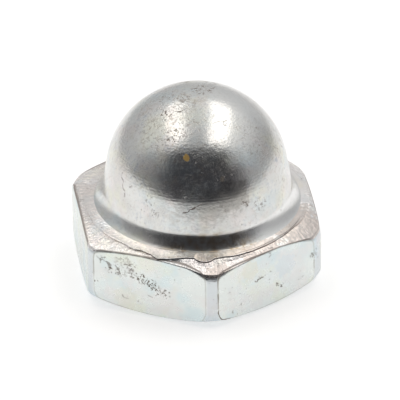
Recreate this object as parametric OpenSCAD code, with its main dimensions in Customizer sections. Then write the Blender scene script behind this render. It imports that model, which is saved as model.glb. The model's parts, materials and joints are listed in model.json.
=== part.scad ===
// Domed cap nut: a low hexagon and a round crown over a blind tapped hole, cold-forged as one piece.
// The origin is the middle of the bearing face, and +Z runs along the screw axis to the crown's top.
// All lengths are in millimetres.

/* [Hexagon] */
// Width of the hexagon across two opposite flats, which sets the spanner
across_flats = 17; // [16:0.1:19]
// How far each sharp corner is turned back towards the axis
corner_cut = 0.35; // [0.1:0.05:0.8]
// How far the edge of the bearing face lies inside the flats
seat_inset = 0.5; // [0.2:0.05:1]
// Slope of the chamfer under the corners, in degrees from the bearing face
seat_chamfer_angle = 27; // [15:1:35]
// Slope of the chamfer over the corners, in degrees
top_chamfer_angle = 24; // [10:1:35]
// How far in from the turned-back corners the chamfer rolls over into them
corner_roll = 0.2; // [0.05:0.05:0.4]
// Slope of that roll-over, in degrees
corner_roll_angle = 64; // [45:1:75]

/* [Shoulder] */
// Height of the shoulder's edge over the bearing face
shoulder_h = 5.2; // [4.5:0.1:6]
// How far the shoulder's edge lies inside the flats
shoulder_inset = 0.4; // [0.1:0.05:0.6]
// Width of the bevel round the shoulder's edge
shoulder_bevel = 0.25; // [0.1:0.05:0.4]
// Slope of that bevel, in degrees
shoulder_slope = 17; // [5:1:30]
// Height of the lap that forging leaves between the shoulder and the chamfer
lap_h = 0.1; // [0.05:0.01:0.3]

/* [Crown] */
// Height of the whole nut
nut_h = 14; // [13.5:0.1:17]
// Diameter of the ball that rounds the crown
crown_d = 13.2; // [12.6:0.1:13.6]
// Draft of the crown's wall, in degrees from upright
crown_draft = 8; // [2:0.5:9]
// Radius of the hollow skirt in which the wall runs out onto the shoulder
skirt_radius = 2.05; // [0.5:0.05:3]
// Slope of the skirt at its foot, in degrees from the shoulder
skirt_angle = 48; // [35:1:60]

/* [Tapped hole] */
// Nominal diameter of the screw
screw_d = 10; // [8:0.5:10.5]
// Pitch of the screw thread
screw_pitch = 1.5; // [1:0.25:1.75]
// Metal left between the tip of the drilled hole and the crown's top
roof_wall = 1.5; // [1.2:0.1:3]
// Full angle of the drill's point
drill_point_angle = 118; // [110:1:140]
// How much wider than the screw the countersunk mouth is, across its diameter
mouth_extra = 0.8; // [0.2:0.1:1.2]
// Full angle of the countersink
mouth_angle = 90; // [90:5:120]

/* [Hidden] */
$fn = 128;

// Room by which a cutter stands proud of the face it cuts
cut_over = 1;
// Bite of the skirt's round past its two tangents, so that it meets both lines in a clean point
round_bite = 0.0005;

// Hexagon and its two chamfers
sharp_corner_r = across_flats / 2 / cos(30);
corner_r = sharp_corner_r - corner_cut;
seat_r = across_flats / 2 - seat_inset;
seat_chamfer_top = (corner_r - seat_r) * tan(seat_chamfer_angle);
shoulder_r = across_flats / 2 - shoulder_inset;
roll_r = corner_r - corner_roll;
roll_z = shoulder_h - lap_h - (roll_r - shoulder_r) * tan(top_chamfer_angle);
roll_foot_z = roll_z - corner_roll * tan(corner_roll_angle);
shoulder_top_r = shoulder_r - shoulder_bevel;
shoulder_top_z = shoulder_h + shoulder_bevel * tan(shoulder_slope);

// Crown: the ball meets the drafted wall where the two are tangent
crown_r = crown_d / 2;
crown_centre_z = nut_h - crown_r;
tangent_r = crown_r * cos(crown_draft);
tangent_z = crown_centre_z + crown_r * sin(crown_draft);

// Skirt: its round starts square to the wall and ends at the foot's slope, within the shoulder's top
foot_normal = 90 - skirt_angle;
wall_foot_r = tangent_r + (tangent_z - shoulder_top_z) * tan(crown_draft);
skirt_drop = sin(foot_normal) - sin(crown_draft);
skirt_spread = cos(crown_draft) - cos(foot_normal) - skirt_drop * tan(crown_draft);
skirt_r = min(skirt_radius, (shoulder_top_r - wall_foot_r) / skirt_spread);
skirt_top_z = shoulder_top_z + skirt_r * skirt_drop;
skirt_top_r = tangent_r + (tangent_z - skirt_top_z) * tan(crown_draft);

// Tapped hole: drilled to the thread's minor diameter
hole_r = (screw_d - 1.0825 * screw_pitch) / 2;
drill_tip_h = hole_r / tan(drill_point_angle / 2);
hole_depth = nut_h - roof_wall - drill_tip_h;
mouth_r = (screw_d + mouth_extra) / 2;
mouth_depth = (mouth_r - hole_r) / tan(mouth_angle / 2);

// Half section of the hexagon's height, as far out as the turned-back corners
module base_section() {
    polygon([
        [0, 0],
        [seat_r, 0],
        [corner_r, seat_chamfer_top],
        [corner_r, roll_foot_z],
        [roll_r, roll_z],
        [shoulder_r, shoulder_h - lap_h],
        [shoulder_r, shoulder_h],
        [shoulder_top_r, shoulder_top_z],
        [0, shoulder_top_z]
    ]);
}

// Half section of the crown: part of a ball over a drafted wall
module crown_section() {
    polygon([
        [0, skirt_top_z],
        [skirt_top_r, skirt_top_z],
        [tangent_r, tangent_z],
        [0, tangent_z]
    ]);
    intersection() {
        translate([0, crown_centre_z]) circle(r = crown_r);
        translate([0, tangent_z]) square([crown_r, nut_h - tangent_z]);
    }
}

// Half section of the hollow skirt in which the crown's wall runs out onto the shoulder
module skirt_section() {
    centre = [skirt_top_r, skirt_top_z] + skirt_r * [cos(crown_draft), sin(crown_draft)];
    foot = centre - skirt_r * [cos(foot_normal), sin(foot_normal)];
    difference() {
        polygon([[0, foot.y], foot, centre, [skirt_top_r, skirt_top_z], [0, skirt_top_z]]);
        translate(centre) circle(r = skirt_r + round_bite);
    }
}

// The turned form of the nut, before its flats are formed
module turned_body() {
    rotate_extrude() {
        base_section();
        skirt_section();
        crown_section();
    }
}

// Hexagonal prism with two flats square to the X axis
module flats() {
    rotate([0, 0, 30]) cylinder(r = sharp_corner_r, h = nut_h + cut_over, $fn = 6);
}

// Countersunk blind hole at the thread's minor diameter, with the drill's point at its end
module tapped_hole() {
    rotate_extrude() polygon([
        [0, -cut_over],
        [mouth_r, -cut_over],
        [mouth_r, 0],
        [hole_r, mouth_depth],
        [hole_r, hole_depth],
        [0, hole_depth + drill_tip_h]
    ]);
}

module cap_nut() {
    color([0.78, 0.79, 0.78])
    difference() {
        intersection() {
            turned_body();
            flats();
        }
        tapped_hole();
    }
}

cap_nut();
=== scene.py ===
import json
import math

import bmesh
import bpy
from mathutils import Matrix, Vector, noise


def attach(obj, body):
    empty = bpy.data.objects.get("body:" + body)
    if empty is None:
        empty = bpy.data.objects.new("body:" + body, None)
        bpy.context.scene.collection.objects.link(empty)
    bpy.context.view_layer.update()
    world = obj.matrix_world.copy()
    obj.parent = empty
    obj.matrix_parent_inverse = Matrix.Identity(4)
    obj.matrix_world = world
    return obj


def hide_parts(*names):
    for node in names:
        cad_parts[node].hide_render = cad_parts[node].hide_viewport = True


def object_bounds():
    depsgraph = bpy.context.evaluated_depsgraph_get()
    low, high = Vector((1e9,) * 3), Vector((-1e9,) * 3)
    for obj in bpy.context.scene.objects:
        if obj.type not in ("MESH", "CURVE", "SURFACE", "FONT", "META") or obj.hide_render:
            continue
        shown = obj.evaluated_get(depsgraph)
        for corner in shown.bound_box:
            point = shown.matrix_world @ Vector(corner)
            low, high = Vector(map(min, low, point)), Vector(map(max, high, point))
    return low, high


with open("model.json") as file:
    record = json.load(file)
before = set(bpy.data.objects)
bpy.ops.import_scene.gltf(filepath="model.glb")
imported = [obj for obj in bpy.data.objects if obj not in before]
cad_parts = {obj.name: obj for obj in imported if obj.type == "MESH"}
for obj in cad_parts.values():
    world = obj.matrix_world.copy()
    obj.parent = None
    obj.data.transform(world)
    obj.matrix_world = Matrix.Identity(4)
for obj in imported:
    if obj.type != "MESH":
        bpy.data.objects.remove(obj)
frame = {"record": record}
cadLow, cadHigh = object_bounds()
mm = 0.001
print("frame loaded")


# helpers for node trees

def addNode(tree, kind, **values):
    node = tree.nodes.new(kind)
    for name, value in values.items():
        setattr(node, name, value)
    return node


def plug(tree, socket, value):
    if isinstance(value, bpy.types.NodeSocket):
        tree.links.new(value, socket)
    elif value is not None:
        socket.default_value = value


def calc(tree, operation, first, second=None, clamp=False):
    node = addNode(tree, "ShaderNodeMath", operation=operation, use_clamp=clamp)
    plug(tree, node.inputs[0], first)
    plug(tree, node.inputs[1], second)
    return node.outputs[0]


def vectorCalc(tree, operation, first, second=None):
    node = addNode(tree, "ShaderNodeVectorMath", operation=operation)
    plug(tree, node.inputs[0], first)
    plug(tree, node.inputs[1], second)
    return node.outputs["Value" if operation in ("LENGTH", "DOT_PRODUCT") else "Vector"]


def scaleVector(tree, vector, share):
    node = addNode(tree, "ShaderNodeVectorMath", operation="SCALE")
    plug(tree, node.inputs[0], vector)
    plug(tree, node.inputs["Scale"], share)
    return node.outputs[0]


def splitAxes(tree, vector):
    node = addNode(tree, "ShaderNodeSeparateXYZ")
    plug(tree, node.inputs[0], vector)
    return node.outputs


def distance(tree, first, second):
    return calc(tree, "ABSOLUTE", calc(tree, "SUBTRACT", first, second))


def readPoint(tree, label):
    return addNode(tree, "ShaderNodeAttribute", attribute_name=label).outputs["Fac"]


def ramp(tree, value, low, high, toLow=0.0, toHigh=1.0, kind="SMOOTHSTEP"):
    node = addNode(tree, "ShaderNodeMapRange", interpolation_type=kind)
    for name, entry in (("Value", value), ("From Min", low), ("From Max", high),
                        ("To Min", toLow), ("To Max", toHigh)):
        plug(tree, node.inputs[name], entry)
    return node.outputs[0]


def blendColors(tree, share, first, second, mode="MIX"):
    node = addNode(tree, "ShaderNodeMix", data_type="RGBA", blend_type=mode)
    plug(tree, node.inputs[0], share)
    plug(tree, node.inputs[6], first)
    plug(tree, node.inputs[7], second)
    return node.outputs[2]


def noiseAt(tree, place, scale, detail=2.0, roughness=0.5, distortion=0.0):
    node = addNode(tree, "ShaderNodeTexNoise")
    plug(tree, node.inputs["Vector"], place)
    for name, value in (("Scale", scale), ("Detail", detail), ("Roughness", roughness),
                        ("Distortion", distortion)):
        plug(tree, node.inputs[name], value)
    return node.outputs["Fac"]


# the forged body, in millimetres and degrees; its outer sizes come from the CAD
nutBody = {
    "flatReach": cadHigh.x / mm,
    "cornerReach": cadHigh.y / mm,
    "height": cadHigh.z / mm,
    "mouthRadius": 5.42,
    "seatRadius": 8.0,
    "seatSlope": 27,
    "chamferSlope": 24,
    "lapRadius": 8.1,
    "lapFoot": 5.1,
    "lapTop": 5.18,
    "crackDepth": 0.12,             # how far the crack under the lap goes in
    "lapWander": (0.7, 0.03),       # size and height of its small unevenness
    "ringTop": (7.90, 5.21),        # inner edge of the ring between lap and skirt
    "skirtFoot": (7.48, 5.33),
    "skirtBend": 5.76,              # height at which the wall's line would meet the skirt's
    "skirtRound": 0.66,
    "lapLift": 0.25,                # share of the chamfer's lift that the lap and the ring have
    "crownRadius": 6.6,
    "crownDraft": 9.5,
    "crownShift": (0.15, 0.08),     # the crown isn't quite over the middle of the hexagon
    "lowRound": 0.16,
    "highRound": 0.50,              # what is rolled over at the top of a corner lies within this
    "rollOver": (0.21, 0.07),       # how far in and up the roll-over starts, from that corner
    "rollDrop": 0.15,
    "rollRound": 0.33,
    "flatShare": 0.15,              # how sharp both rounds are along a flat, against at a corner
    "flatRounding": 0.55,
    "sharpCorner": 0.18,            # how much less the left corner is turned back
    "askewFlat": (8.389, 298.56),   # distance and bearing of the right front flat at its near end
    "askewReach": (270, 271, 296),  # from the front corner, in full at the second, to nothing at the last
    "askewRim": 0.43,               # how much wider the front flats' rounded outline is for it
    "rowGap": 0.42,
    "arcSteps": 42,
    "steps": 360,
    "waviness": 0.025,
    "waveSize": 1.6,
    "wallWaveSize": 3.2,
    "slack": 0.04,                  # room by which a point counts as inside or outside an edge
}

# how much higher the forging left the chamfer and the lap, at degrees from +X
chamferLift = (
    (0, -0.15), (30, 0.0), (90, 0.3), (150, 0.5), (210, 0.34), (240, 0.20), (257, 0.22), (264, 0.0),
    (270, -0.12), (278, -0.14), (290, -0.24), (300, -0.32), (315, -0.30), (330, -0.24), (360, -0.15),
)

# how much lower the ring's inner edge and the skirt lie, at degrees from +X
ringDrop = (
    (0, 0.08), (30, 0.03), (120, 0.0), (205, 0.0), (214, 0.04), (232, 0.10), (256, 0.16), (280, 0.18),
    (292, 0.16), (304, 0.08), (321, 0.12), (340, 0.11), (360, 0.08),
)

# how far the lap stands open, at degrees from +X
lapOpening = (
    (0, 0.4), (30, 0.2), (60, 0.0), (185, 0.0), (204, 0.3), (228, 0.4), (242, 0.75), (272, 0.8),
    (300, 0.6), (330, 0.5), (360, 0.4),
)

# how much lower the edge of the seat's chamfer runs, at degrees from +X
seatDrop = (
    (0, 0.0), (235, 0.0), (252, 0.14), (280, 0.14), (300, 0.0), (360, 0.0),
)

# how far the lap lies out of its circle, down the chamfer, at degrees from +X
lapLine = (
    (0, -0.10), (40, -0.05), (75, 0.03), (110, -0.04), (150, 0.0), (184, -0.10), (208, -0.05),
    (222, -0.09), (229, 0.06), (233, -0.06), (239, 0.09), (243, 0.34), (248, 0.24), (252, 0.12),
    (258, 0.03), (261, 0.0), (262, 0.14), (264, 0.26), (267, 0.30), (269, 0.22), (271, 0.07),
    (276, 0.01), (281, 0.05), (287, 0.04), (299, -0.05), (320, -0.08), (330, 0.03), (340, 0.05),
    (360, -0.10),
)


def tangent(angle):
    return math.tan(math.radians(angle))


def between(value, low, high):
    return min(max((value - low) / (high - low), 0.0), 1.0)


def wave(place, size, seed):
    return noise.noise(Vector(place) / size + Vector((seed, -seed, 2 * seed)))


# direction of a point from the axis, in degrees from +X
def bearing(place):
    return math.degrees(math.atan2(place.y, place.x)) % 360


def awayFromFlat(angle):
    return (angle + 30) % 60 - 30


def readLine(line, angle):
    for (start, first), (end, second) in zip(line, line[1:]):
        if start <= angle <= end:
            return first + (second - first) * between(angle, start, end)


# reach of the turned-back corner nearest to an angle
def cornerReach(angle):
    sharper = nutBody["sharpCorner"] if abs(angle - 210) < 30 else 0.0
    return nutBody["cornerReach"] + sharper


def outlineReach(angle):
    reach = nutBody["flatReach"] / math.cos(math.radians(awayFromFlat(angle)))
    start, full, end = nutBody["askewReach"]
    if start < angle < end:
        distance, square = nutBody["askewFlat"]
        askew = distance / math.cos(math.radians(angle - square))
        reach += (askew - reach) * between(-angle, -end, -full)
    return min(reach, cornerReach(angle))


def lowEdge(reach):
    return Vector((reach, (reach - nutBody["seatRadius"]) * tangent(nutBody["seatSlope"])))


def highEdge(reach):
    drop = (reach - nutBody["lapRadius"]) * tangent(nutBody["chamferSlope"])
    return Vector((reach, nutBody["lapFoot"] - drop))


# how much higher than its section the forging left the chamfer, and the lap and ring inside it
def liftAt(angle, reach):
    body = nutBody
    outward = between(reach, body["lapRadius"], body["cornerReach"])
    return readLine(chamferLift, angle) * (body["lapLift"] + (1 - body["lapLift"]) * outward)


# half section through a corner, from the countersunk mouth up to the crown's top
def drawSection(section):
    body = nutBody
    crownMiddle = body["height"] - body["crownRadius"]
    draft = math.radians(body["crownDraft"])
    wallTop = Vector((math.cos(draft), math.sin(draft))) * body["crownRadius"] + Vector((0, crownMiddle))
    lean = math.tan(draft)
    lap, foot, top = body["lapRadius"], body["lapFoot"], body["lapTop"]
    bend = body["skirtBend"]
    low, high = lowEdge(body["cornerReach"]), highEdge(body["cornerReach"])
    rollIn, rollUp = body["rollOver"]
    # radius, height, reach of the rounding and its segments
    corners = (
        (body["mouthRadius"], 0, 0, 0),
        (body["seatRadius"], 0, 0.05, 1),
        (low.x, low.y, body["lowRound"], 3),
        (high.x, high.y - body["rollDrop"], body["rollRound"], 5),
        (high.x - rollIn, high.y + rollUp, 0, 0),
        (lap + 0.06, foot - 0.03, 0, 0),
        (lap + 0.01, foot - 0.03, 0, 0),
        (lap - body["crackDepth"], foot, 0, 0),
        (lap - 0.02, foot + 0.02, 0, 0),
        (lap + 0.02, foot + 0.04, 0, 0),
        (lap + 0.01, top - 0.01, 0.03, 2),
        (*body["ringTop"], 0.24, 4),
        (*body["skirtFoot"], 0, 0),
        (wallTop.x + (wallTop.y - bend) * lean, bend, body["skirtRound"], 12),
        (wallTop.x, wallTop.y, 0, 0),
    )
    points = [section.verts.new((radius, 0, height)) for radius, height, _, _ in corners]
    for pair in zip(points, points[1:]):
        section.edges.new(pair)
    for point, (_, _, reach, segments) in zip(points, corners):
        if reach:
            bmesh.ops.bevel(section, geom=[point], offset=reach, offset_type="OFFSET", segments=segments,
                            profile=0.5, affect="VERTICES", material=-1)
    for edge in list(section.edges):
        cuts = int(edge.calc_length() / body["rowGap"])
        if cuts:
            bmesh.ops.subdivide_edges(section, edges=[edge], cuts=cuts)
    rim = max(section.verts, key=lambda point: point.co.z)
    bmesh.ops.spin(section, geom=[rim], cent=(0, 0, crownMiddle), axis=(0, 1, 0), dvec=(0, 0, 0),
                   angle=draft - math.pi / 2, steps=body["arcSteps"], use_merge=False)


# move a point of the section's corner to where the hexagon's outline cuts it
def fitHexagon(place, angle):
    body = nutBody
    corner, reach = body["cornerReach"], outlineReach(angle)
    low, high = lowEdge(corner), highEdge(corner)
    share = between(reach, body["flatReach"], cornerReach(angle)) ** 3
    share = body["flatShare"] + (1 - body["flatShare"]) * share
    if (place - low).length < body["lowRound"] * 1.02:
        return lowEdge(reach) + (place - low) * share
    if (place - high).length < body["highRound"] * 1.02:
        return highEdge(reach) + (place - high) * share
    if place.y < low.y:
        seat = Vector((body["seatRadius"], 0))
        return seat.lerp(lowEdge(reach), (place.x - seat.x) / (low.x - seat.x))
    if place.y < high.y:
        return lowEdge(reach).lerp(highEdge(reach), (place.y - low.y) / (high.y - low.y))
    lap = highEdge(body["lapRadius"])
    return highEdge(reach).lerp(lap, (high.x - place.x) / (high.x - lap.x))


# how much of the lap's wander a point shares: in full at the lap, and none at the skirt, seat and outline
def wanderShare(radius, height, reach, outline):
    body = nutBody
    lap, foot = body["lapRadius"], body["lapFoot"]
    if height > foot - body["slack"] or radius < lap + 0.05:
        inner = between(radius, body["skirtFoot"][0], lap - body["crackDepth"])
        return inner * between(height, 3.0, foot - 0.06)
    outer = between(outline - reach, 0.02, outline - lap)
    return outer * between(height, highEdge(body["cornerReach"]).y + 0.05, foot - 0.1)


def shapeBody(mesh):
    body = nutBody
    lap, foot, top = body["lapRadius"], body["lapFoot"], body["lapTop"]
    wanderSize, wanderHeight = body["lapWander"]
    for point in mesh.verts:
        radius, height = Vector(point.co.xy).length, point.co.z
        angle = bearing(point.co)
        place = Vector((radius, height))
        around = (point.co.x, point.co.y, height)
        if radius > body["seatRadius"] + body["slack"] and height < foot - body["slack"]:
            place = fitHexagon(place, angle)
            swell = body["waviness"] * (1 - 0.75 * between(place.y, 0, 4.2))
            swell *= wave(around, body["waveSize"], 3.1)
            place.y += swell * between(place.y, 0.1, 0.6)
            place.x -= abs(swell) * 0.4
            place.y -= readLine(seatDrop, angle) * between(place.y, 0.1, 0.6) * between(2.5, place.y, 1.2)
        if height > foot - body["slack"] and abs(radius - lap) < 0.13:
            place.x = lap + (radius - lap) * readLine(lapOpening, angle)
        outline = outlineReach(angle)
        wander = readLine(lapLine, angle) + wanderHeight * wave(around, wanderSize, 5.3)
        wander = min(wander, outline - lap - 0.02) * wanderShare(radius, height, place.x, outline)
        place.x += wander
        place.y -= wander * tangent(body["chamferSlope"])
        if height > top + 0.2:
            share = 0.4 * between(height, top + 0.2, 6.4) * between(radius, 0.0, 2.0)
            place.x += body["waviness"] * share * wave(around, body["wallWaveSize"], 7.7)
        lift = liftAt(angle, place.x)
        lift -= readLine(ringDrop, angle) * between(-radius, 0.05 - lap, -body["skirtFoot"][0])
        place.y += lift * between(-height, -8.0, -6.3) * between(place.y, 0.8, 4.2)
        turned = Matrix.Rotation(math.radians(angle), 3, "Z") @ Vector((place.x, 0, place.y))
        inside = between(-radius, 0.1 - lap, -body["skirtFoot"][0]) * between(height, 1, 5)
        turned += Vector((*body["crownShift"], 0)) * inside
        point.co = turned


# put the twelve upright edges where the flats really end
def squareCorners(mesh):
    body = nutBody
    for point in mesh.verts:
        radius = Vector(point.co.xy).length
        angle = bearing(point.co)
        aside = awayFromFlat(angle)
        edgeAngle = math.degrees(math.acos(body["flatReach"] / cornerReach(angle)))
        if abs(abs(aside) - int(edgeAngle)) < 0.01 and radius > body["seatRadius"] + body["slack"]:
            turn = math.radians(math.copysign(edgeAngle - int(edgeAngle), aside))
            point.co = Matrix.Rotation(turn, 3, "Z") @ point.co


# one finish each for the crown (0), the forged top of the hexagon (1) and its flats (2)
def sortFinishes(mesh):
    body = nutBody
    flatTop = highEdge(body["cornerReach"]).y - 0.1
    for face in mesh.faces:
        middle = face.calc_center_median()
        radius = Vector(middle.xy).length
        if middle.z < flatTop and radius > body["mouthRadius"]:
            face.material_index = 2
        elif middle.z < 6 and radius > body["skirtFoot"][0]:
            face.material_index = 1


# how far each point of the surface lies from the lap's crack or the skirt's foot
def measureCrack(mesh, crackReach):
    body = nutBody
    crack = Vector((body["lapRadius"], body["lapFoot"]))
    foot = Vector(body["skirtFoot"])
    for point in mesh.verts:
        radius, height = Vector(point.co.xy).length, point.co.z
        section = Vector((radius, height))
        point[crackReach] = min((section - crack).length, (section - foot).length + 0.02)
        angle = bearing(point.co)
        point[crackReach] += 0.06 * between(angle, 285, 320) + 0.1 * (1 - readLine(lapOpening, angle))


# the skirt meets the ring in a crease
def creaseSkirt(mesh):
    foot = Vector(nutBody["skirtFoot"])
    for edge in mesh.edges:
        edge.smooth = any((Vector((Vector(point.co.xy).length, point.co.z)) - foot).length > 0.01
                          for point in edge.verts)


# distance in from the rounded outline of each flat, and below nought outside it
def outlineFlats(mesh, rimReach):
    body = nutBody
    rounding = body["flatRounding"]
    for point in mesh.verts:
        angle = bearing(point.co)
        reach = Vector(point.co.xy).length
        low, high = lowEdge(outlineReach(angle)), highEdge(outlineReach(angle))
        halfWidth = math.sqrt(cornerReach(angle) ** 2 - body["flatReach"] ** 2)
        if 270 < angle < 300:
            halfWidth += body["askewRim"]
        inward = halfWidth - abs(reach * math.sin(math.radians(awayFromFlat(angle))))
        rise = min(high.y + liftAt(angle, high.x) - point.co.z,
                   point.co.z - low.y + readLine(seatDrop, angle))
        if min(rise, inward) < rounding and max(rise, inward) < 3 * rounding:
            corner = Vector((max(rounding - rise, 0), max(rounding - inward, 0))).length
            point[rimReach] = rounding - corner
        else:
            point[rimReach] = min(rise, inward)


def makeBody():
    body = nutBody
    mesh = bmesh.new()
    crackReach = mesh.verts.layers.float.new("crackReach")
    rimReach = mesh.verts.layers.float.new("rimReach")
    drawSection(mesh)
    bmesh.ops.spin(mesh, geom=mesh.verts[:] + mesh.edges[:], cent=(0, 0, 0), axis=(0, 0, 1), dvec=(0, 0, 0),
                   angle=2 * math.pi, steps=body["steps"], use_merge=True)
    bmesh.ops.remove_doubles(mesh, verts=mesh.verts[:], dist=0.0005)
    sortFinishes(mesh)
    measureCrack(mesh, crackReach)
    creaseSkirt(mesh)
    shapeBody(mesh)
    squareCorners(mesh)
    outlineFlats(mesh, rimReach)
    return mesh


# blind hole with its thread, in millimetres
tappedHole = next(mount for mount in frame["record"]["mounts"] if mount["name"] == "tapped_hole")
bore = {
    "screwRadius": 5.0,
    "drillRadius": tappedHole["dims"]["r_mm"],
    "pitch": 1.5,
    "depth": 9.984,
    "tip": 12.5,
    "mouth": 5.4,
    "threadEnd": (7.8, 8.9),        # the tap's lead, over which the thread runs out
    "steps": 96,
    "turns": 8,
}


def makeBore(mesh):
    pitch, drill, screw = bore["pitch"], bore["drillRadius"], bore["screwRadius"]
    flank = (screw - drill) * tangent(30)
    thread = bmesh.new()
    turns = ((drill, 0), (drill, pitch / 4), (screw, pitch / 4 + flank),
             (screw, pitch * 3 / 8 + flank), (drill, pitch))
    points = [thread.verts.new((radius, 0, height - pitch)) for radius, height in turns]
    for pair in zip(points, points[1:]):
        thread.edges.new(pair)
    bmesh.ops.subdivide_edges(thread, edges=thread.edges[:], cuts=2)
    steps = bore["steps"]
    bmesh.ops.spin(thread, geom=thread.verts[:] + thread.edges[:], cent=(0, 0, 0), axis=(0, 0, 1),
                   dvec=(0, 0, pitch / steps), angle=2 * math.pi * bore["turns"],
                   steps=steps * bore["turns"], use_merge=False)
    bmesh.ops.remove_doubles(thread, verts=thread.verts[:], dist=0.001)
    for height, upper in ((0.0, False), (bore["depth"], True)):
        everything = thread.verts[:] + thread.edges[:] + thread.faces[:]
        bmesh.ops.bisect_plane(thread, geom=everything, dist=0.0001, plane_co=(0, 0, height),
                               plane_no=(0, 0, 1), clear_outer=upper, clear_inner=not upper)
    for point in thread.verts:
        radius = Vector(point.co.xy).length
        depth = 1 - between(point.co.z, *bore["threadEnd"])
        wanted = max(drill + (radius - drill) * depth, bore["mouth"] - point.co.z)
        point.co.xy *= wanted / radius
    for edge in thread.edges:
        edge.smooth = False
    rim = [edge for edge in thread.edges if edge.is_boundary and edge.verts[0].co.z > bore["depth"] - 0.01]
    tip = bmesh.ops.extrude_edge_only(thread, edges=rim)["geom"]
    tip = [point for point in tip if isinstance(point, bmesh.types.BMVert)]
    bmesh.ops.pointmerge(thread, verts=tip, merge_co=(0, 0, bore["tip"]))
    for face in thread.faces:
        face.material_index = 3
    data = bpy.data.meshes.new("thread")
    thread.to_mesh(data)
    thread.free()
    mesh.from_mesh(data)
    bpy.data.meshes.remove(data)
    rings = [edge for edge in mesh.edges if edge.is_boundary]
    bmesh.ops.bridge_loops(mesh, edges=rings)


def placeBody():
    mesh = makeBody()
    makeBore(mesh)
    bmesh.ops.recalc_face_normals(mesh, faces=mesh.faces[:])
    bmesh.ops.scale(mesh, vec=(mm, mm, mm), verts=mesh.verts[:])
    data = bpy.data.meshes.new("nutBody")
    mesh.to_mesh(data)
    mesh.free()
    piece = bpy.data.objects.new("nutBody", data)
    bpy.context.scene.collection.objects.link(piece)
    finish = piece.modifiers.new("evenShading", "WEIGHTED_NORMAL")
    finish.keep_sharp = True
    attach(piece, "root")
    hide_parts("cap_nut")
    return piece


nutPiece = placeBody()
print("body made:", len(nutPiece.data.polygons), "faces")


# node groups for what the finishes share

def newGroup(name, given, wanted):
    tree = bpy.data.node_groups.new(name, "ShaderNodeTree")
    for label, kind in given:
        tree.interface.new_socket(label, in_out="INPUT", socket_type="NodeSocket" + kind)
    for label, kind in wanted:
        tree.interface.new_socket(label, in_out="OUTPUT", socket_type="NodeSocket" + kind)
    return tree, addNode(tree, "NodeGroupInput").outputs, addNode(tree, "NodeGroupOutput").inputs


def useGroup(tree, group, **values):
    node = addNode(tree, "ShaderNodeGroup", node_tree=group)
    for label, value in values.items():
        plug(tree, node.inputs[label], value)
    return node.outputs


# soft colour play of thin zinc plating: share, tint, patches to a millimetre, seed
platingTints = (
    (0.85, (0.86, 0.95, 1.0, 1.0), 0.30, 3.0),
    (0.75, (1.0, 0.985, 0.86, 1.0), 0.42, 11.0),
    (0.60, (1.0, 0.92, 0.925, 1.0), 0.50, 23.0),
)


def makePlatingTint():
    tree, given, wanted = newGroup("platingTint", [("Place", "Vector"), ("Strength", "Float")],
                                   [("Color", "Color")])
    color = (1.0, 1.0, 1.0, 1.0)
    for share, tint, size, seed in platingTints:
        place = vectorCalc(tree, "ADD", given["Place"], (seed, -seed, seed))
        patch = ramp(tree, noiseAt(tree, place, size, 3.0, 0.6), 0.47, 0.66, 0.0, share)
        color = blendColors(tree, calc(tree, "MULTIPLY", patch, given["Strength"]), color, tint)
    plug(tree, wanted["Color"], color)
    return tree


# height of the rough skin that forging and tumbling leave, coarse and fine
def makeForgedGrain():
    tree, given, wanted = newGroup("forgedGrain", [("Place", "Vector"), ("Coarse", "Float"),
                                                   ("Fine", "Float")], [("Height", "Float")])
    swell = noiseAt(tree, given["Place"], 1.1, 2.0, 0.5, 0.4)
    grit = noiseAt(tree, given["Place"], 4.6, 3.0, 0.62)
    both = calc(tree, "ADD", calc(tree, "MULTIPLY", swell, given["Coarse"]),
                calc(tree, "MULTIPLY", grit, given["Fine"]))
    plug(tree, wanted["Height"], both)
    return tree


# pits thinly strewn in loose clusters
def makePits():
    tree, given, wanted = newGroup("pits", [("Place", "Vector"), ("Amount", "Float"), ("Size", "Float")],
                                   [("Mask", "Float")])
    grains = noiseAt(tree, given["Place"], given["Size"], 2.0, 0.6, 0.6)
    clusters = noiseAt(tree, vectorCalc(tree, "ADD", given["Place"], (7.0, 2.0, 5.0)), 0.45, 2.0, 0.55)
    level = calc(tree, "SUBTRACT", 0.93, calc(tree, "MULTIPLY", clusters, given["Amount"]))
    plug(tree, wanted["Mask"], ramp(tree, calc(tree, "SUBTRACT", grains, level), 0.0, 0.07))
    return tree


# length of a step over the surface, in which depth counts for little
def alongSkin(tree, step):
    outward = addNode(tree, "ShaderNodeTexCoord").outputs["Normal"]
    depth = calc(tree, "MULTIPLY", vectorCalc(tree, "DOT_PRODUCT", step, outward), 0.8)
    return vectorCalc(tree, "LENGTH", vectorCalc(tree, "SUBTRACT", step, scaleVector(tree, outward, depth)))


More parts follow.
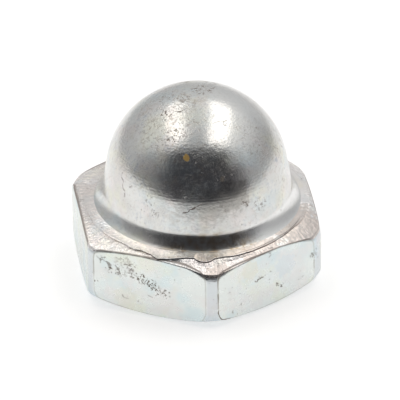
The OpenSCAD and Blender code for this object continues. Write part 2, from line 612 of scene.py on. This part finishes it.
# ragged stain of short strokes and specks, which "Solid" fills in
def makeStain():
    tree, given, wanted = newGroup("stain", [("Place", "Vector"), ("Middle", "Vector"), ("Reach", "Float"),
                                             ("Solid", "Float")], [("Mask", "Float")])
    away = alongSkin(tree, vectorCalc(tree, "SUBTRACT", given["Place"], given["Middle"]))
    rough = noiseAt(tree, given["Place"], 2.4, 3.0, 0.6)
    uneven = calc(tree, "MULTIPLY", calc(tree, "SUBTRACT", rough, 0.5), 1.6)
    near = ramp(tree, calc(tree, "SUBTRACT", calc(tree, "DIVIDE", away, given["Reach"]), uneven),
                0.75, 1.05, 1.0, 0.0)
    contour = noiseAt(tree, given["Place"], 1.7, 3.0, 0.55, 0.9)
    strokes = ramp(tree, distance(tree, contour, 0.5), 0.012, 0.045, 1.0, 0.0)
    broken = ramp(tree, noiseAt(tree, given["Place"], 3.7, 2.0, 0.5), 0.47, 0.54)
    strokes = calc(tree, "MULTIPLY", strokes, broken)
    specks = ramp(tree, noiseAt(tree, given["Place"], 5.5, 2.0, 0.6), 0.56, 0.64)
    filled = calc(tree, "MAXIMUM", calc(tree, "MAXIMUM", strokes, specks), given["Solid"])
    plug(tree, wanted["Mask"], calc(tree, "MULTIPLY", near, filled))
    return tree


# wandering scratch between two points
def makeScratch():
    tree, given, wanted = newGroup("scratch", [("Place", "Vector"), ("Start", "Vector"), ("End", "Vector"),
                                               ("Width", "Float")], [("Mask", "Float")])
    wander = addNode(tree, "ShaderNodeTexNoise")
    plug(tree, wander.inputs["Vector"], given["Place"])
    wander.inputs["Scale"].default_value = 1.8
    shift = vectorCalc(tree, "SUBTRACT", wander.outputs["Color"], (0.5, 0.5, 0.5))
    shift = vectorCalc(tree, "MULTIPLY", shift, (0.7, 0.7, 0.7))
    place = vectorCalc(tree, "ADD", given["Place"], shift)
    line = vectorCalc(tree, "SUBTRACT", given["End"], given["Start"])
    out = vectorCalc(tree, "SUBTRACT", place, given["Start"])
    along = calc(tree, "DIVIDE", vectorCalc(tree, "DOT_PRODUCT", out, line),
                 vectorCalc(tree, "DOT_PRODUCT", line, line), clamp=True)
    away = alongSkin(tree, vectorCalc(tree, "SUBTRACT", out, scaleVector(tree, line, along)))
    uneven = ramp(tree, noiseAt(tree, given["Place"], 3.1, 2.0), 0.3, 0.6, 0.3, 1.0)
    near = calc(tree, "DIVIDE", away, calc(tree, "MULTIPLY", given["Width"], uneven))
    plug(tree, wanted["Mask"], ramp(tree, near, 0.5, 1.3, 1.0, 0.0))
    return tree


platingTint = makePlatingTint()
forgedGrain = makeForgedGrain()
pits = makePits()
stain = makeStain()
scratch = makeScratch()


# finishes

def newMaterial(name):
    material = bpy.data.materials.new(name)
    material.use_nodes = True
    tree = material.node_tree
    tree.nodes.clear()
    shader = addNode(tree, "ShaderNodeBsdfPrincipled")
    output = addNode(tree, "ShaderNodeOutputMaterial")
    tree.links.new(shader.outputs[0], output.inputs[0])
    nutPiece.data.materials.append(material)
    return tree, shader.inputs


# place on the nut in millimetres
def nutPlace(tree):
    own = addNode(tree, "ShaderNodeTexCoord")
    scaled = addNode(tree, "ShaderNodeMapping", vector_type="POINT")
    scaled.inputs["Scale"].default_value = (1000, 1000, 1000)
    tree.links.new(own.outputs["Object"], scaled.inputs["Vector"])
    return scaled.outputs[0]


# height is counted in the given depth, in millimetres
def addBump(tree, height, depth=1.0):
    bump = addNode(tree, "ShaderNodeBump")
    bump.inputs["Strength"].default_value = 1.0
    bump.inputs["Distance"].default_value = depth * mm
    tree.links.new(height, bump.inputs["Height"])
    return bump.outputs[0]


def speckle(tree, place, look):
    return useGroup(tree, pits, Place=place, Amount=look["pitAmount"], Size=look["pitSize"])["Mask"]


def roughSkin(tree, place, look):
    grain = useGroup(tree, forgedGrain, Place=place, Coarse=look["coarseGrain"], Fine=look["fineGrain"])
    return grain["Height"]


def gather(tree, masks):
    whole = masks[0]
    for mask in masks[1:]:
        whole = calc(tree, "MAXIMUM", whole, mask)
    return whole


def stains(tree, place, marks, solid=0.0):
    masks = []
    for *middle, reach, share in marks:
        mask = useGroup(tree, stain, Place=place, Middle=middle, Reach=reach, Solid=solid)["Mask"]
        masks.append(calc(tree, "MULTIPLY", mask, share))
    return gather(tree, masks)


def scratches(tree, place, marks):
    masks = []
    for start, end, width, share in marks:
        mask = useGroup(tree, scratch, Place=place, Start=start, End=end, Width=width)["Mask"]
        masks.append(calc(tree, "MULTIPLY", mask, share))
    return gather(tree, masks)


# marks in millimetres: stains by middle, reach and share, scratches by both ends, width and share
crown = {
    "tint": (0.75, 0.755, 0.74, 1.0),
    "darkMarks": (0.19, 0.14, 0.11, 1.0),
    "stains": (
        (-0.7, -0.4, 13.9, 0.7, 0.6), (0.6, 0.5, 13.95, 0.8, 0.8), (1.2, 1.05, 13.8, 0.6, 0.7),
        (-0.3, 2.5, 13.5, 0.5, 0.5), (1.4, 2.1, 13.5, 0.6, 0.5), (-2.2, 0.3, 13.6, 0.6, 0.5),
        (-2.4, -1.6, 13.3, 0.5, 0.8), (-3.5, -1.7, 12.6, 0.6, 0.35), (-2.0, -3.4, 12.6, 0.6, 0.7),
        (-0.2, -2.9, 13.3, 0.9, 0.35), (-2.2, -1.6, 13.3, 3.0, 0.28), (4.0, -3.2, 11.6, 1.8, 0.25),
        (4.1, -2.3, 12.2, 0.16, 0.7), (4.2, -3.4, 11.3, 0.15, 0.7), (3.9, -5.4, 7.65, 0.55, 0.45),
        (-4.1, -4.9, 8.4, 0.5, 0.35), (-3.7, -5.35, 7.55, 0.4, 0.35), (2.7, -6.0, 8.0, 0.35, 0.5),
        (-5.2, -3.6, 8.9, 0.2, 0.5), (1.7, -2.9, 12.9, 0.25, 0.5),
    ),
    "scratches": (
        ((-1.6, -1.6, 13.5), (-1.0, -1.7, 13.7), 0.05, 0.8),
        ((0.9, -2.9, 13.15), (2.0, -2.7, 13.1), 0.04, 0.35),
        ((-1.75, -6.3, 7.9), (-0.5, -6.4, 8.7), 0.07, 0.8),
        ((2.6, -6.1, 8.2), (3.0, -5.9, 7.8), 0.06, 0.7),
        ((-5.7, -2.5, 9.5), (-5.5, -3.25, 8.0), 0.05, 0.7),
        ((5.4, -2.6, 10.6), (5.6, -2.2, 10.1), 0.06, 0.6),
    ),
    "flecks": ((-1.3, -4.8, 11.6, 0.25, 0.95), (1.15, -5.8, 10.2, 0.22, 0.25)),
    "fleckTint": (0.62, 0.40, 0.12, 1.0),
    # painted shade: solid patches in the shade colour below, on the front of the crown
    "shaded": ((1.9, -6.3, 8.9, 1.4, 0.65), (0.4, -6.6, 8.4, 1.4, 0.45), (-1.5, -6.4, 8.3, 1.0, 0.3)),
    "shade": (0.45, 0.43, 0.40, 1.0),
    "grainy": ((0.4, -5.4, 10.3, 2.8, 1.0), (-3.0, -4.8, 10.0, 1.6, 0.8)),
    "cloud": (0.62, 0.62, 0.60, 1.0),
    # colour of the painted light on the right of the skirt and the top
    "paintedLight": (0.85, 0.855, 0.85, 1.0),
    "skirtBrowning": (0.56, 0.47, 0.36, 1.0),
    "brownMottle": (0.54, 0.47, 0.40, 1.0),
    "blueMottle": (0.44, 0.49, 0.58, 1.0),
    "calmWall": (8.8, 9.8, 0.45, 1.0),          # the wall below has this share of the ball's roughness
    "skirtTop": (6.1, 6.5, 1.0, 0.0),
    "roughness": (0.15, 0.24),
    "coarseGrain": 0.009,
    "fineGrain": 0.013,
    "pitAmount": 0.46,
    "pitSize": 4.2,
}


def finishCrown():
    tree, sockets = newMaterial("platedCrown")
    place = nutPlace(tree)
    tint = useGroup(tree, platingTint, Place=place, Strength=0.8)["Color"]
    color = blendColors(tree, 1.0, crown["tint"], tint, "MULTIPLY")
    across, away, up = splitAxes(tree, place)
    calm = ramp(tree, up, *crown["calmWall"])
    # fine mottle, brownish and bluish by turns
    elsewhere = vectorCalc(tree, "ADD", place, (4.0, 9.0, 2.0))
    patches = ramp(tree, noiseAt(tree, elsewhere, 0.35), 0.4, 0.6, 0.35, 0.8)
    mottled = ramp(tree, noiseAt(tree, place, 3.4, 4.0, 0.75), 0.48, 0.70)
    mottled = calc(tree, "MULTIPLY", calc(tree, "MULTIPLY", mottled, patches), calm)
    elsewhere = vectorCalc(tree, "ADD", place, (3.0, 5.0, 8.0))
    turns = ramp(tree, noiseAt(tree, elsewhere, 1.3), 0.45, 0.55)
    mottle = blendColors(tree, turns, crown["brownMottle"], crown["blueMottle"])
    color = blendColors(tree, mottled, color, mottle)
    cloudy = noiseAt(tree, place, 0.7, 3.0, 0.6)
    color = blendColors(tree, ramp(tree, cloudy, 0.42, 0.62, 0.0, 0.3), color, crown["cloud"])
    # painted shade: darker patches on the front of the crown, below its dark reflection
    color = blendColors(tree, stains(tree, place, crown["shaded"], 1.0), color, crown["shade"])
    # painted light: the skirt and the top are painted brighter on the right; the skirt is also browner in
    # front
    inSkirt = ramp(tree, up, *crown["skirtTop"])
    onRight = ramp(tree, across, -1.0, 3.0)
    paintedLightShare = calc(tree, "MAXIMUM", inSkirt, ramp(tree, up, 11.0, 13.0, 0.0, 0.8))
    color = blendColors(tree, calc(tree, "MULTIPLY", paintedLightShare, onRight), color, crown["paintedLight"])
    skirtBrowning = ramp(tree, noiseAt(tree, place, 1.9, 4.0, 0.7), 0.40, 0.60, 0.25, 1.0)
    skirtBrowning = calc(tree, "MULTIPLY", skirtBrowning, ramp(tree, away, -6.2, -6.9))
    color = blendColors(tree, calc(tree, "MULTIPLY", skirtBrowning, inSkirt), color, crown["skirtBrowning"])
    speckled = calc(tree, "MULTIPLY", speckle(tree, place, crown), calm)
    darkMarks = gather(tree, [calc(tree, "MULTIPLY", speckled, 0.6), stains(tree, place, crown["stains"]),
                         scratches(tree, place, crown["scratches"])])
    color = blendColors(tree, darkMarks, color, crown["darkMarks"])
    fleck = stains(tree, place, crown["flecks"], 1.0)
    color = blendColors(tree, fleck, color, crown["fleckTint"])
    plug(tree, sockets["Base Color"], color)
    grainy = ramp(tree, noiseAt(tree, place, 4.6, 4.0, 0.75), 0.46, 0.68, 0.0, 0.24)
    grainy = calc(tree, "MULTIPLY", grainy, stains(tree, place, crown["grainy"], 1.0))
    dull = gather(tree, [calc(tree, "MULTIPLY", darkMarks, 0.4), calc(tree, "MULTIPLY", fleck, 0.8), grainy,
                         calc(tree, "MULTIPLY", mottled, 0.2)])
    plug(tree, sockets["Metallic"], calc(tree, "SUBTRACT", 1.0, dull))
    rough = ramp(tree, cloudy, 0.3, 0.7, *crown["roughness"])
    plug(tree, sockets["Roughness"], calc(tree, "ADD", rough, calc(tree, "MULTIPLY", darkMarks, 0.3)))
    height = calc(tree, "MULTIPLY", roughSkin(tree, place, crown), calm)
    height = calc(tree, "SUBTRACT", height, calc(tree, "MULTIPLY", darkMarks, 0.01))
    plug(tree, sockets["Normal"], addBump(tree, height))


chamfer = {
    "tint": (0.95, 0.925, 0.915, 1.0),
    "darkMarks": (0.19, 0.145, 0.12, 1.0),
    "hatch": (0.72, 0.65, 0.61, 1.0),
    # patches in the hatch's colour: partly the chamfer's own darker tone, partly painted shade
    "dull": ((6.9, -4.4, 5.0, 2.6, 0.8), (5.0, 7.2, 5.0, 3.2, 0.7), (-4.5, 7.4, 5.3, 3.0, 0.6),
             (3.9, -7.8, 4.9, 1.9, 0.8), (0.3, -9.35, 4.5, 1.0, 0.85), (-9.0, 1.0, 5.0, 3.4, 0.5)),
    "hatchFrom": (7.95, 8.3, 0.3, 1.0),         # radii over which the hatch sets in, and its shares there
    "furrowDepth": 0.07,
    "foldRadius": 8.05,
    "foldStart": (-1.40, -1.25),                # directions in radians over which the fold sets in
    "foldEnd": (-0.62, -0.45),
    "roughness": (0.17, 0.28),
    "coarseGrain": 0.018,
    "fineGrain": 0.032,
    "pitAmount": 0.50,
    "pitSize": 3.0,
}


def finishChamfer():
    tree, sockets = newMaterial("forgedChamfer")
    place = nutPlace(tree)
    tint = useGroup(tree, platingTint, Place=place, Strength=0.6)["Color"]
    color = blendColors(tree, 1.0, chamfer["tint"], tint, "MULTIPLY")
    # fine hatch that runs down the slope
    across, away, _ = splitAxes(tree, place)
    around = calc(tree, "ARCTAN2", away, across)
    radius = vectorCalc(tree, "LENGTH", vectorCalc(tree, "MULTIPLY", place, (1.0, 1.0, 0.0)))
    joined = addNode(tree, "ShaderNodeCombineXYZ")
    plug(tree, joined.inputs["X"], calc(tree, "MULTIPLY", around, 9.0))
    plug(tree, joined.inputs["Y"], calc(tree, "MULTIPLY", radius, 0.45))
    hatch = noiseAt(tree, joined.outputs[0], 4.5, 3.0, 0.65, 0.5)
    outside = ramp(tree, radius, *chamfer["hatchFrom"])
    worn = calc(tree, "MULTIPLY", ramp(tree, hatch, 0.5, 0.72, 0.0, 0.55), outside)
    color = blendColors(tree, worn, color, chamfer["hatch"])
    # partly the chamfer's own darker hatch tone, partly painted shade at the right, the back and the front
    color = blendColors(tree, stains(tree, place, chamfer["dull"], 1.0), color, chamfer["hatch"])
    # darker in the lap's crack and in the crease at the skirt's foot, partly dirt and partly painted shade,
    # and a darker line along the edge of the flats
    uneven = calc(tree, "MULTIPLY", noiseAt(tree, place, 2.2, 3.0, 0.6), 0.12)
    crack = calc(tree, "SUBTRACT", readPoint(tree, "crackReach"), uneven)
    crack = ramp(tree, crack, -0.01, 0.03, 0.65, 0.0)
    edge = ramp(tree, calc(tree, "ABSOLUTE", readPoint(tree, "rimReach")), 0.01, 0.055, 0.7, 0.0)
    # second fold beside the lap, on the right
    fold = calc(tree, "ADD", radius, calc(tree, "MULTIPLY", noiseAt(tree, place, 0.9, 3.0, 0.6), 0.16))
    fold = ramp(tree, distance(tree, fold, chamfer["foldRadius"]), 0.012, 0.045, 0.85, 0.0)
    fold = calc(tree, "MULTIPLY", fold, ramp(tree, around, *chamfer["foldStart"]))
    fold = calc(tree, "MULTIPLY", fold, ramp(tree, around, *chamfer["foldEnd"], 1.0, 0.0))
    darkMarks = gather(tree, [crack, edge, fold, calc(tree, "MULTIPLY", speckle(tree, place, chamfer), 0.6)])
    color = blendColors(tree, darkMarks, color, chamfer["darkMarks"])
    plug(tree, sockets["Base Color"], color)
    plug(tree, sockets["Metallic"], ramp(tree, darkMarks, 0, 1, 1, 0.4, "LINEAR"))
    rough = ramp(tree, noiseAt(tree, place, 1.2), 0.3, 0.7, *chamfer["roughness"])
    plug(tree, sockets["Roughness"], calc(tree, "ADD", rough, calc(tree, "MULTIPLY", darkMarks, 0.25)))
    furrows = calc(tree, "MULTIPLY", calc(tree, "MULTIPLY", hatch, outside), chamfer["furrowDepth"])
    height = calc(tree, "ADD", roughSkin(tree, place, chamfer), furrows)
    plug(tree, sockets["Normal"], addBump(tree, height))


flats = {
    "tint": (0.81, 0.85, 0.83, 1.0),
    "cornerTint": (0.70, 0.74, 0.76, 1.0),
    "darkMarks": (0.26, 0.21, 0.17, 1.0),
    "rimLine": 0.08,                            # width of the line round each flat where it is widest
    "leastRimLine": 0.22,
    "rimLinePatches": ((0.6, -9.3, 1.0, 0.9, 1.0), (0.6, -9.3, 2.2, 1.0, 0.7), (0.6, -9.3, 3.6, 0.9, 0.6),
                (7.9, -4.6, 2.5, 1.2, 0.5), (-7.9, -4.6, 3.5, 1.0, 0.4)),
    "stains": (
        (-8.0, -5.2, 2.2, 0.15, 0.9), (-5.5, -6.65, 3.25, 0.4, 0.85), (-4.9, -7.0, 3.1, 0.5, 0.95),
        (-4.3, -7.3, 2.9, 0.45, 0.95), (-4.0, -7.5, 2.55, 0.5, 0.95), (-3.3, -7.9, 2.3, 0.35, 0.8),
        (3.5, -7.8, 2.9, 0.17, 0.7), (4.9, -7.0, 1.7, 0.2, 0.8), (5.2, -6.8, 1.5, 0.2, 0.8),
        (7.6, -5.4, 2.9, 0.24, 0.8), (2.0, -8.6, 1.3, 0.13, 0.7),
        (-7.1, -5.7, 3.4, 0.35, 0.95), (-6.5, -6.1, 3.4, 0.3, 0.95), (-7.5, -5.5, 4.1, 0.4, 0.6),
        (-5.7, -6.6, 3.9, 0.35, 0.7), (-6.1, -6.3, 3.9, 0.9, 0.3),
    ),
    "scratches": (
        ((-7.9, -5.2, 4.4), (-7.1, -5.7, 3.9), 0.05, 0.55),
        ((-7.2, -5.6, 3.9), (-7.1, -5.7, 3.4), 0.06, 0.6),
        ((-6.7, -6.0, 3.9), (-6.4, -6.1, 3.4), 0.06, 0.6),
        ((-6.2, -6.3, 4.0), (-5.4, -6.7, 4.1), 0.05, 0.55),
        ((-4.6, -7.2, 1.9), (-4.2, -7.4, 1.8), 0.04, 0.5),
        ((-6.2, -6.2, 1.5), (-5.8, -6.4, 1.3), 0.04, 0.4),
        ((3.2, -7.85, 2.75), (3.9, -7.45, 3.05), 0.05, 0.7),
    ),
    "blueStains": ((5.5, -6.65, 3.1, 1.0, 0.5), (4.6, -7.2, 2.6, 3.6, 0.15)),
    "blue": (0.66, 0.74, 0.80, 1.0),
    "yellowStains": ((2.7, -8.25, 3.8, 0.8, 0.4), (-6.0, -6.4, 1.3, 1.0, 0.3)),
    "yellow": (0.78, 0.76, 0.62, 1.0),
    "roughness": (0.24, 0.34),
    "coarseGrain": 0.03,
    "fineGrain": 0.02,
    "pitAmount": 0.45,
    "pitSize": 3.2,
}


def finishFlats():
    tree, sockets = newMaterial("spannerFlats")
    place = nutPlace(tree)
    tint = useGroup(tree, platingTint, Place=place, Strength=0.9)["Color"]
    rim = readPoint(tree, "rimReach")
    color = blendColors(tree, ramp(tree, rim, -0.12, 0.05), flats["cornerTint"], flats["tint"])
    color = blendColors(tree, 1.0, color, tint, "MULTIPLY")
    color = blendColors(tree, stains(tree, place, flats["blueStains"], 1.0), color, flats["blue"])
    color = blendColors(tree, stains(tree, place, flats["yellowStains"], 1.0), color, flats["yellow"])
    # a darker line round each flat
    uneven = noiseAt(tree, place, 0.8, 3.0, 0.6)
    width = ramp(tree, uneven, 0.35, 0.68, 0.02, flats["rimLine"])
    line = ramp(tree, calc(tree, "DIVIDE", distance(tree, rim, 0.05), width), 0.4, 1.2, 1.0, 0.0)
    lineStrength = calc(tree, "MAXIMUM", stains(tree, place, flats["rimLinePatches"], 1.0), flats["leastRimLine"])
    line = calc(tree, "MULTIPLY", line, lineStrength)
    darkMarks = gather(tree, [line, calc(tree, "MULTIPLY", speckle(tree, place, flats), 0.5),
                         stains(tree, place, flats["stains"]), scratches(tree, place, flats["scratches"])])
    color = blendColors(tree, darkMarks, color, flats["darkMarks"])
    plug(tree, sockets["Base Color"], color)
    plug(tree, sockets["Metallic"], ramp(tree, darkMarks, 0, 1, 1, 0.5, "LINEAR"))
    rough = ramp(tree, uneven, 0.3, 0.7, *flats["roughness"])
    plug(tree, sockets["Roughness"], calc(tree, "ADD", rough, calc(tree, "MULTIPLY", darkMarks, 0.25)))
    height = calc(tree, "SUBTRACT", roughSkin(tree, place, flats), calc(tree, "MULTIPLY", darkMarks, 0.02))
    plug(tree, sockets["Normal"], addBump(tree, height))


threading = {
    "tint": (0.52, 0.51, 0.49, 1.0),
    "paintedDepthShade": (0.30, 0.29, 0.275, 1.0),
    "darkMarks": (0.14, 0.11, 0.09, 1.0),
    "roughness": (0.28, 0.48),
    "markDepth": 0.03,
    "pitAmount": 0.55,
    "pitSize": 2.4,
}


def finishBore():
    tree, sockets = newMaterial("tappedBore")
    place = nutPlace(tree)
    up = splitAxes(tree, place)["Z"]
    # painted shade: darker deeper in the bore
    color = blendColors(tree, ramp(tree, up, 0.5, 5.0), threading["tint"], threading["paintedDepthShade"])
    tint = useGroup(tree, platingTint, Place=place, Strength=0.7)["Color"]
    color = blendColors(tree, 1.0, color, tint, "MULTIPLY")
    # cutting marks run round the bore
    rings = noiseAt(tree, vectorCalc(tree, "MULTIPLY", place, (0.6, 0.6, 7.0)), 1.0, 3.0, 0.6)
    darkMarks = gather(tree, [calc(tree, "MULTIPLY", speckle(tree, place, threading), 0.8),
                         ramp(tree, rings, 0.6, 0.8, 0.0, 0.5)])
    color = blendColors(tree, darkMarks, color, threading["darkMarks"])
    plug(tree, sockets["Base Color"], color)
    sockets["Metallic"].default_value = 1.0
    plug(tree, sockets["Roughness"], ramp(tree, rings, 0.3, 0.7, *threading["roughness"]))
    plug(tree, sockets["Normal"], addBump(tree, rings, threading["markDepth"]))


finishCrown()
finishChamfer()
finishFlats()
finishBore()
print("finishes made")


# light tent: pale walls and floor, two long windows in its roof, and a dim open front
lightTent = {
    "turn": 8,
    "wallFoot": (0.50, 0.50, 0.505, 1.0),
    "wallTop": (0.76, 0.76, 0.75, 1.0),
    "backFoot": (0.56, 0.56, 0.56, 1.0),
    "backTop": (0.72, 0.72, 0.715, 1.0),
    "roofFront": (0.48, 0.48, 0.48, 1.0),
    "roofBack": (0.74, 0.74, 0.735, 1.0),
    "front": (0.045, 0.045, 0.05, 1.0),
    "window": (1.75, 1.68, 1.60, 1.0),
    "leftWindow": (-0.62, -0.24, -0.30),       # from, to and near end, against the roof's height
    "rightWindow": (0.26, 0.74, -0.38),
    "windowEnd": 0.98,
    "frontHeight": 0.36,
    "frontLean": 1.05,
    "frontLeft": (30, 96, 0.42),               # its left side is partly open a long way round
    "frontRight": (42, 84),
    "rightShade": 0.88,
    "ragged": 60,                   # how far the sides of the front wander, in degrees
    "floorSize": 0.5,
    "floorFront": 0.047,
    "floorTint": (0.8, 0.8, 0.8, 1.0),
    "floorGlow": 0.535,
    "floorSlant": 0.3,
    "floorFade": (-0.045, -0.030),             # where it sets in, in the nut's skin
    "nearDimming": (0.03, 0.06, 0.90, 0.6),    # distances, and what is left of the glow there
    "farDimming": (0.07, 0.2, 1.0, 0.0),
}


def lightWorld():
    tent = lightTent
    world = bpy.data.worlds.new("lightTent")
    bpy.context.scene.world = world
    world.use_nodes = True
    tree = world.node_tree
    tree.nodes.clear()
    looking = addNode(tree, "ShaderNodeTexCoord")
    turned = addNode(tree, "ShaderNodeMapping", vector_type="POINT")
    turned.inputs["Rotation"].default_value = (0, 0, math.radians(tent["turn"]))
    tree.links.new(looking.outputs["Generated"], turned.inputs["Vector"])
    across, away, up = splitAxes(tree, turned.outputs[0])
    # walls, from their feet up to the roof
    climb = ramp(tree, up, 0.15, 0.8)
    side = blendColors(tree, climb, tent["wallFoot"], tent["wallTop"])
    shade = calc(tree, "MULTIPLY", ramp(tree, across, 0.4, 0.8, 0.0, 1 - tent["rightShade"]),
                 ramp(tree, up, 0.2, 0.5, 1.0, 0.0))
    side = blendColors(tree, shade, side, (0.0, 0.0, 0.0, 1.0))
    back = blendColors(tree, climb, tent["backFoot"], tent["backTop"])
    color = blendColors(tree, ramp(tree, away, 0.6, 0.9), side, back)
    roof = blendColors(tree, ramp(tree, away, -0.35, 0.4), tent["roofFront"], tent["roofBack"])
    color = blendColors(tree, ramp(tree, up, 0.78, 0.92), color, roof)
    # windows in the roof
    rise = calc(tree, "MAXIMUM", up, 0.01)
    sideways = calc(tree, "DIVIDE", across, rise)
    along = calc(tree, "DIVIDE", away, rise)
    farEnd = tent["windowEnd"]
    for start, end, nearEnd in (tent["leftWindow"], tent["rightWindow"]):
        length = calc(tree, "MULTIPLY", ramp(tree, along, nearEnd - 0.1, nearEnd + 0.1),
                      ramp(tree, along, farEnd - 0.08, farEnd + 0.08, 1.0, 0.0))
        width = calc(tree, "MULTIPLY", ramp(tree, sideways, start - 0.05, start + 0.05),
                     ramp(tree, sideways, end - 0.05, end + 0.05, 1.0, 0.0))
        color = blendColors(tree, calc(tree, "MULTIPLY", width, length), color, tent["window"])
    # the open front
    height = calc(tree, "ADD", up, calc(tree, "MULTIPLY", away, tent["frontLean"]))
    top = tent["frontHeight"]
    opening = ramp(tree, height, top - 0.06, top + 0.06, 1.0, 0.0)
    aside = calc(tree, "DEGREES", calc(tree, "ARCTAN2", across, calc(tree, "MULTIPLY", away, -1.0)))
    wander = calc(tree, "SUBTRACT", noiseAt(tree, turned.outputs[0], 5.0, 3.0, 0.6), 0.5)
    aside = calc(tree, "ADD", aside, calc(tree, "MULTIPLY", wander, tent["ragged"]))
    narrow, wide, dim = tent["frontLeft"]
    left = calc(tree, "ADD", ramp(tree, aside, -wide, 10 - wide, 0.0, dim),
                ramp(tree, aside, 18 - wide, -narrow, 0.0, 1 - dim))
    opening = calc(tree, "MULTIPLY", opening, left)
    narrow, wide = tent["frontRight"]
    opening = calc(tree, "MULTIPLY", opening, ramp(tree, aside, narrow, wide, 1.0, 0.0))
    color = blendColors(tree, opening, color, tent["front"])
    # what is seen directly is a plain white backdrop
    path = addNode(tree, "ShaderNodeLightPath")
    seen = calc(tree, "MAXIMUM", path.outputs["Is Camera Ray"], path.outputs["Is Transmission Ray"])
    color = blendColors(tree, seen, color, (1.0, 1.0, 1.0, 1.0))
    background = addNode(tree, "ShaderNodeBackground")
    tree.links.new(color, background.inputs["Color"])
    output = addNode(tree, "ShaderNodeOutputWorld")
    tree.links.new(background.outputs[0], output.inputs["Surface"])


def layFloor():
    tent = lightTent
    mesh = bmesh.new()
    bmesh.ops.create_grid(mesh, x_segments=1, y_segments=1, size=tent["floorSize"])
    bmesh.ops.translate(mesh, vec=(0, tent["floorSize"] - tent["floorFront"], 0), verts=mesh.verts[:])
    data = bpy.data.meshes.new("floor")
    mesh.to_mesh(data)
    mesh.free()
    floor = bpy.data.objects.new("floor", data)
    bpy.context.scene.collection.objects.link(floor)
    material = bpy.data.materials.new("whiteFloor")
    material.use_nodes = True
    tree = material.node_tree
    tree.nodes.clear()
    place = addNode(tree, "ShaderNodeTexCoord").outputs["Object"]
    across, along, _ = splitAxes(tree, place)
    path = addNode(tree, "ShaderNodeLightPath")
    seen = calc(tree, "MAXIMUM", path.outputs["Is Camera Ray"], path.outputs["Is Glossy Ray"])
    seen = calc(tree, "MAXIMUM", seen, path.outputs["Is Transmission Ray"])
    # in the nut's skin its front edge and its far part are dimmer, sooner on the right
    nearness = calc(tree, "SUBTRACT", along, calc(tree, "MULTIPLY", across, tent["floorSlant"]))
    fade = ramp(tree, nearness, *tent["floorFade"])
    away = vectorCalc(tree, "LENGTH", vectorCalc(tree, "ADD", place, (0.01, 0.0, 0.0)))
    far = calc(tree, "MULTIPLY", ramp(tree, away, *tent["nearDimming"]),
               ramp(tree, away, *tent["farDimming"]))
    fade = calc(tree, "MULTIPLY", fade, far)
    fade = ramp(tree, path.outputs["Is Glossy Ray"], 0.0, 1.0, 1.0, fade, "LINEAR")
    glow = addNode(tree, "ShaderNodeEmission")
    strength = calc(tree, "MULTIPLY", calc(tree, "MULTIPLY", seen, fade), tent["floorGlow"])
    tree.links.new(strength, glow.inputs["Strength"])
    paper = addNode(tree, "ShaderNodeBsdfDiffuse")
    paper.inputs["Color"].default_value = tent["floorTint"]
    both = addNode(tree, "ShaderNodeAddShader")
    tree.links.new(glow.outputs[0], both.inputs[0])
    tree.links.new(paper.outputs[0], both.inputs[1])
    output = addNode(tree, "ShaderNodeOutputMaterial")
    tree.links.new(both.outputs[0], output.inputs["Surface"])
    data.materials.append(material)
    return floor


lightWorld()
layFloor()
print("light tent and floor made")


# long lens, a little above the nut
viewpoint = {
    "azimuth": -8.0,
    "elevation": 31.15,
    "roll": 0.8,
    "distance": 0.425,
    "lens": 531.3,
    "sensor": 36,
    "lookAt": (0, 0, 0.0085),
    "aside": 0.000366,
    "raised": -0.00292,
}


def placeCamera():
    look = viewpoint
    azimuth, elevation = math.radians(look["azimuth"]), math.radians(look["elevation"])
    back = Vector((math.sin(azimuth) * math.cos(elevation), -math.cos(azimuth) * math.cos(elevation),
                   math.sin(elevation)))
    level = Vector((math.cos(azimuth), math.sin(azimuth), 0))
    right = Matrix.Rotation(-math.radians(look["roll"]), 3, back) @ level
    up = back.cross(right)
    data = bpy.data.cameras.new("camera")
    data.lens = look["lens"]
    data.sensor_width = look["sensor"]
    data.clip_start, data.clip_end = 0.01, 5
    camera = bpy.data.objects.new("camera", data)
    bpy.context.scene.collection.objects.link(camera)
    turn = Matrix((right, up, back)).transposed().to_4x4()
    place = Vector(look["lookAt"]) + right * look["aside"] + up * look["raised"] + back * look["distance"]
    camera.matrix_world = Matrix.Translation(place) @ turn
    bpy.context.scene.camera = camera


placeCamera()
bpy.context.scene.view_settings.view_transform = "Standard"
print("camera placed")
